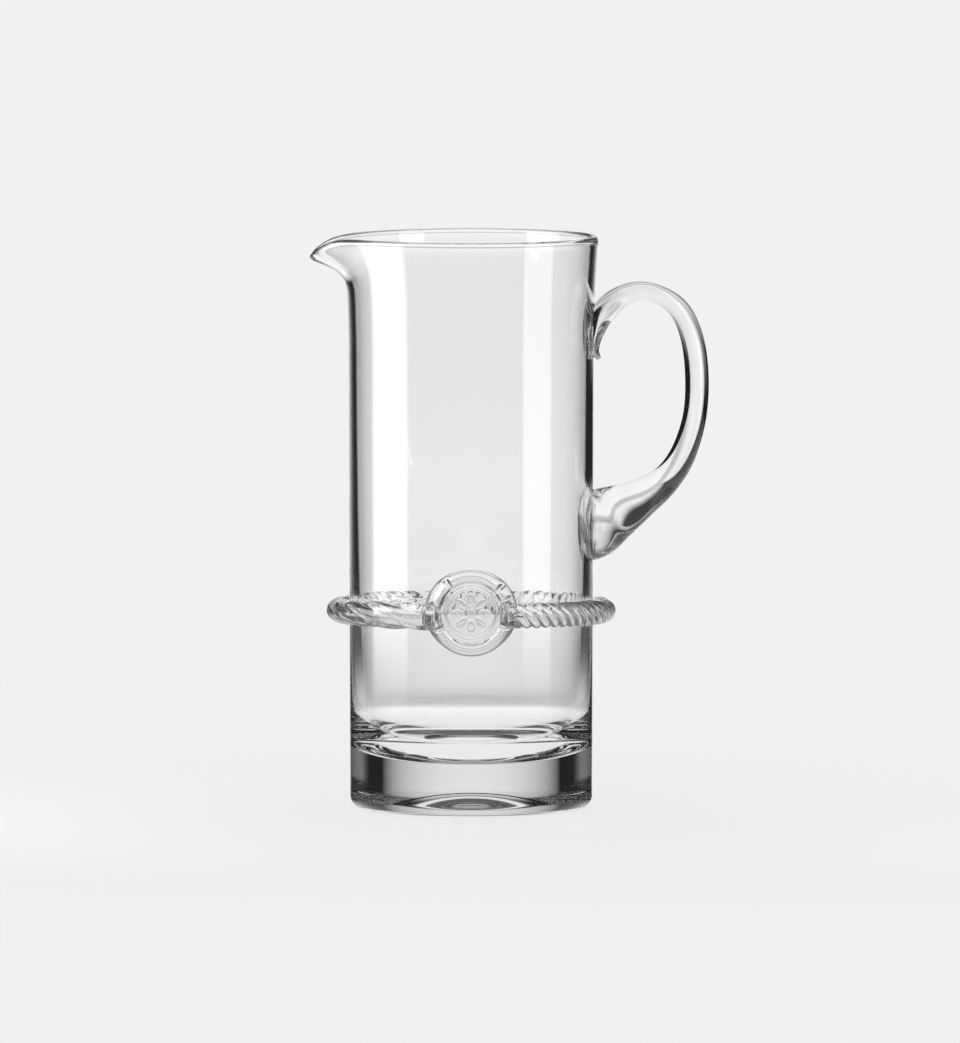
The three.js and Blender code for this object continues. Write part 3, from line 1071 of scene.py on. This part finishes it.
    def world(self) -> None:
        """The backdrop for the camera, even white for dull surfaces, and the sky's share for the glass."""
        world = bpy.data.worlds.new("studio")
        bpy.context.scene.world = world
        world.use_nodes = True
        tree = world.node_tree
        tree.nodes.clear()
        place = add_node(tree, "ShaderNodeTexCoord")
        axes = add_node(tree, "ShaderNodeSeparateXYZ", Vector=place.outputs["Generated"])
        ray = add_node(tree, "ShaderNodeLightPath").outputs
        more, times = {"operation": "GREATER_THAN"}, {"operation": "MULTIPLY"}
        mirrored = add_node(tree, "ShaderNodeMath", more, i0=ray["Glossy Depth"], i1=0.5)
        room = add_node(
            tree,
            "ShaderNodeMath",
            times,
            i0=self.sky_level(tree, axes.outputs[2]),
            i1=self.bright_share(tree, axes, mirrored.outputs[0]),
        )
        glassy = add_node(
            tree,
            "ShaderNodeMath",
            {"operation": "MAXIMUM"},
            i0=ray["Is Glossy Ray"],
            i1=ray["Is Transmission Ray"],
        )
        clean = add_node(tree, "ShaderNodeMath", {"operation": "LESS_THAN"}, i0=ray["Diffuse Depth"], i1=0.5)
        seen = add_node(tree, "ShaderNodeMath", times, i0=glassy.outputs[0], i1=clean.outputs[0])
        dull = add_node(
            tree,
            "ShaderNodeMix",
            {"data_type": "RGBA"},
            i0=ray["Is Camera Ray"],
            i6=linear("#ffffff"),
            i7=linear(self.backdrop),
        )
        colour = add_node(
            tree,
            "ShaderNodeMix",
            {"data_type": "RGBA"},
            i0=seen.outputs[0],
            i6=dull.outputs[2],
            i7=room.outputs[0],
        )
        glow = add_node(tree, "ShaderNodeBackground", Color=colour.outputs[2])
        add_node(tree, "ShaderNodeOutputWorld", Surface=glow.outputs[0])

    def floor(self) -> bpy.types.Object:
        """A pale disc that keeps the shadow and fades into the backdrop round its edge.

        Returns:
            The floor.
        """
        material = bpy.data.materials.new("painted_floor")
        material.use_nodes = True
        tree = material.node_tree
        tree.nodes.clear()
        place = add_node(tree, "ShaderNodeTexCoord")
        far = add_node(tree, "ShaderNodeVectorMath", {"operation": "LENGTH"}, i0=place.outputs["Object"])
        fade = add_node(
            tree,
            "ShaderNodeMapRange",
            {"interpolation_type": "SMOOTHSTEP"},
            i0=far.outputs["Value"],
            i1=self.floor_radius,
            i2=self.floor_solid,
        )
        ray = add_node(tree, "ShaderNodeLightPath")
        seen = add_node(
            tree,
            "ShaderNodeMath",
            {"operation": "MULTIPLY"},
            i0=ray.outputs["Is Camera Ray"],
            i1=fade.outputs[0],
        )
        paint = add_node(tree, "ShaderNodeBsdfDiffuse", Color=linear(self.backdrop))
        clear = add_node(tree, "ShaderNodeBsdfTransparent")
        glow = add_node(tree, "ShaderNodeEmission", Color=linear(self.backdrop))
        mixer = "ShaderNodeMixShader"
        pale = add_node(tree, mixer, i0=self.floor_glow, i1=paint.outputs[0], i2=glow.outputs[0])
        mix = add_node(tree, mixer, i0=seen.outputs[0], i1=clear.outputs[0], i2=pale.outputs[0])
        add_node(tree, "ShaderNodeOutputMaterial", Surface=mix.outputs[0])
        radii = (self.floor_radius, self.floor_radius)
        ring = arc((0.0, 0.0), radii, 0.0, 2 * math.pi, self.floor_sides + 1)[:-1]
        points = np.column_stack([ring, np.full(len(ring), -self.floor_drop)])
        mesh = bpy.data.meshes.new("floor")
        mesh.from_pydata(points, [], [list(range(len(ring)))])
        mesh.materials.append(material)
        floor = bpy.data.objects.new("floor", mesh)
        bpy.context.scene.collection.objects.link(floor)
        return floor

    def build(self) -> None:
        """Sets up the camera, the backdrop, the floor and the panels, and enough bounces for nested glass."""
        scene = bpy.context.scene
        scene.view_settings.view_transform = "Standard"
        scene.cycles.max_bounces = self.glass_bounces
        scene.cycles.transmission_bounces = self.glass_bounces
        scene.cycles.glossy_bounces = self.glass_bounces
        scene.cycles.transparent_max_bounces = self.clear_bounces
        self.camera()
        self.world()
        self.floor()
        for panel in self.panels():
            panel.build(self.vessel.place())


@dataclass
class Pitcher:
    """The whole pitcher, with each piece's node, slot and glass."""

    vessel: Vessel = field(default_factory=Vessel)

    def build(self) -> None:
        """Builds and dresses the four pieces and hands them to the frame."""
        seal = Seal(self.vessel)
        parts = [
            (self.vessel, "vessel", "blown_glass", BLOWN),
            (Handle(self.vessel), "handle", "pulled_glass", PULLED),
            (RopeBand(self.vessel, seal), "rope_band", "twisted_glass", TWISTED),
            (seal, "seal", "pressed_glass", PRESSED),
        ]
        for part, node, slot, glass in parts:
            piece = part.build()
            piece.data.materials.append(glass.material())
            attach(piece, "root")
            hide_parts(node)
            LOG.info("%s: %d faces of %s", piece.name, len(piece.data.polygons), glass.name)


def main() -> None:
    """Builds the studio and the pitcher."""
    logging.basicConfig(level=logging.INFO, format="%(message)s")
    pitcher = Pitcher()
    Studio(pitcher.vessel).build()
    pitcher.build()


if __name__ == "__main__":
    main()
